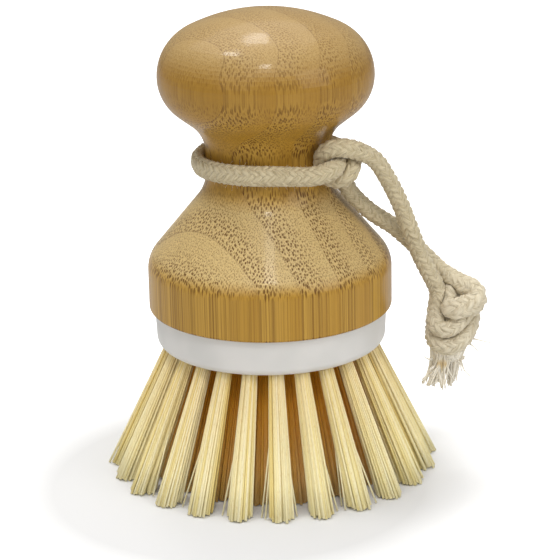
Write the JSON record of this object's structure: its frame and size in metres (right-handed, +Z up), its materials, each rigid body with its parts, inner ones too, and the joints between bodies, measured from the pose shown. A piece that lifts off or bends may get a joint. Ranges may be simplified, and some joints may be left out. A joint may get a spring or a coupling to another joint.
{
  "type": "cleaning brush",
  "caption": "Bamboo cleaning brush: a turned knob handle on a round plate of fanned plant-fibre bristle tufts, with a cotton hanging cord tied round its neck and knotted at its end.",
  "frame": {"origin": "on the handle's axis, at the height of the bristles' cut ends, which the brush stands on", "axes": "+Z up along the handle's axis to the knob, +X towards the hanging cord's end knot, -Y towards the viewer of the picture"},
  "size_m": [0.0844, 0.076, 0.1054],
  "materials": {
    "bamboo": "satin lacquer",
    "white_plastic": "smooth, slightly matt",
    "bristle": "dry plant fibre",
    "anchor_metal": "bright strip",
    "cotton": "braided, undyed"
  },
  "bodies": {
    "root": {"handle": "bamboo", "bristle_plate": "white_plastic", "outer_tufts": "bristle", "second_tufts": "bristle", "third_tufts": "bristle", "inner_tufts": "bristle", "middle_tuft": "bristle", "tuft_anchors": "anchor_metal", "hanging_cord": "cotton", "end_knot": "cotton", "frayed_ends": "cotton"}
  },
  "joints": []
}
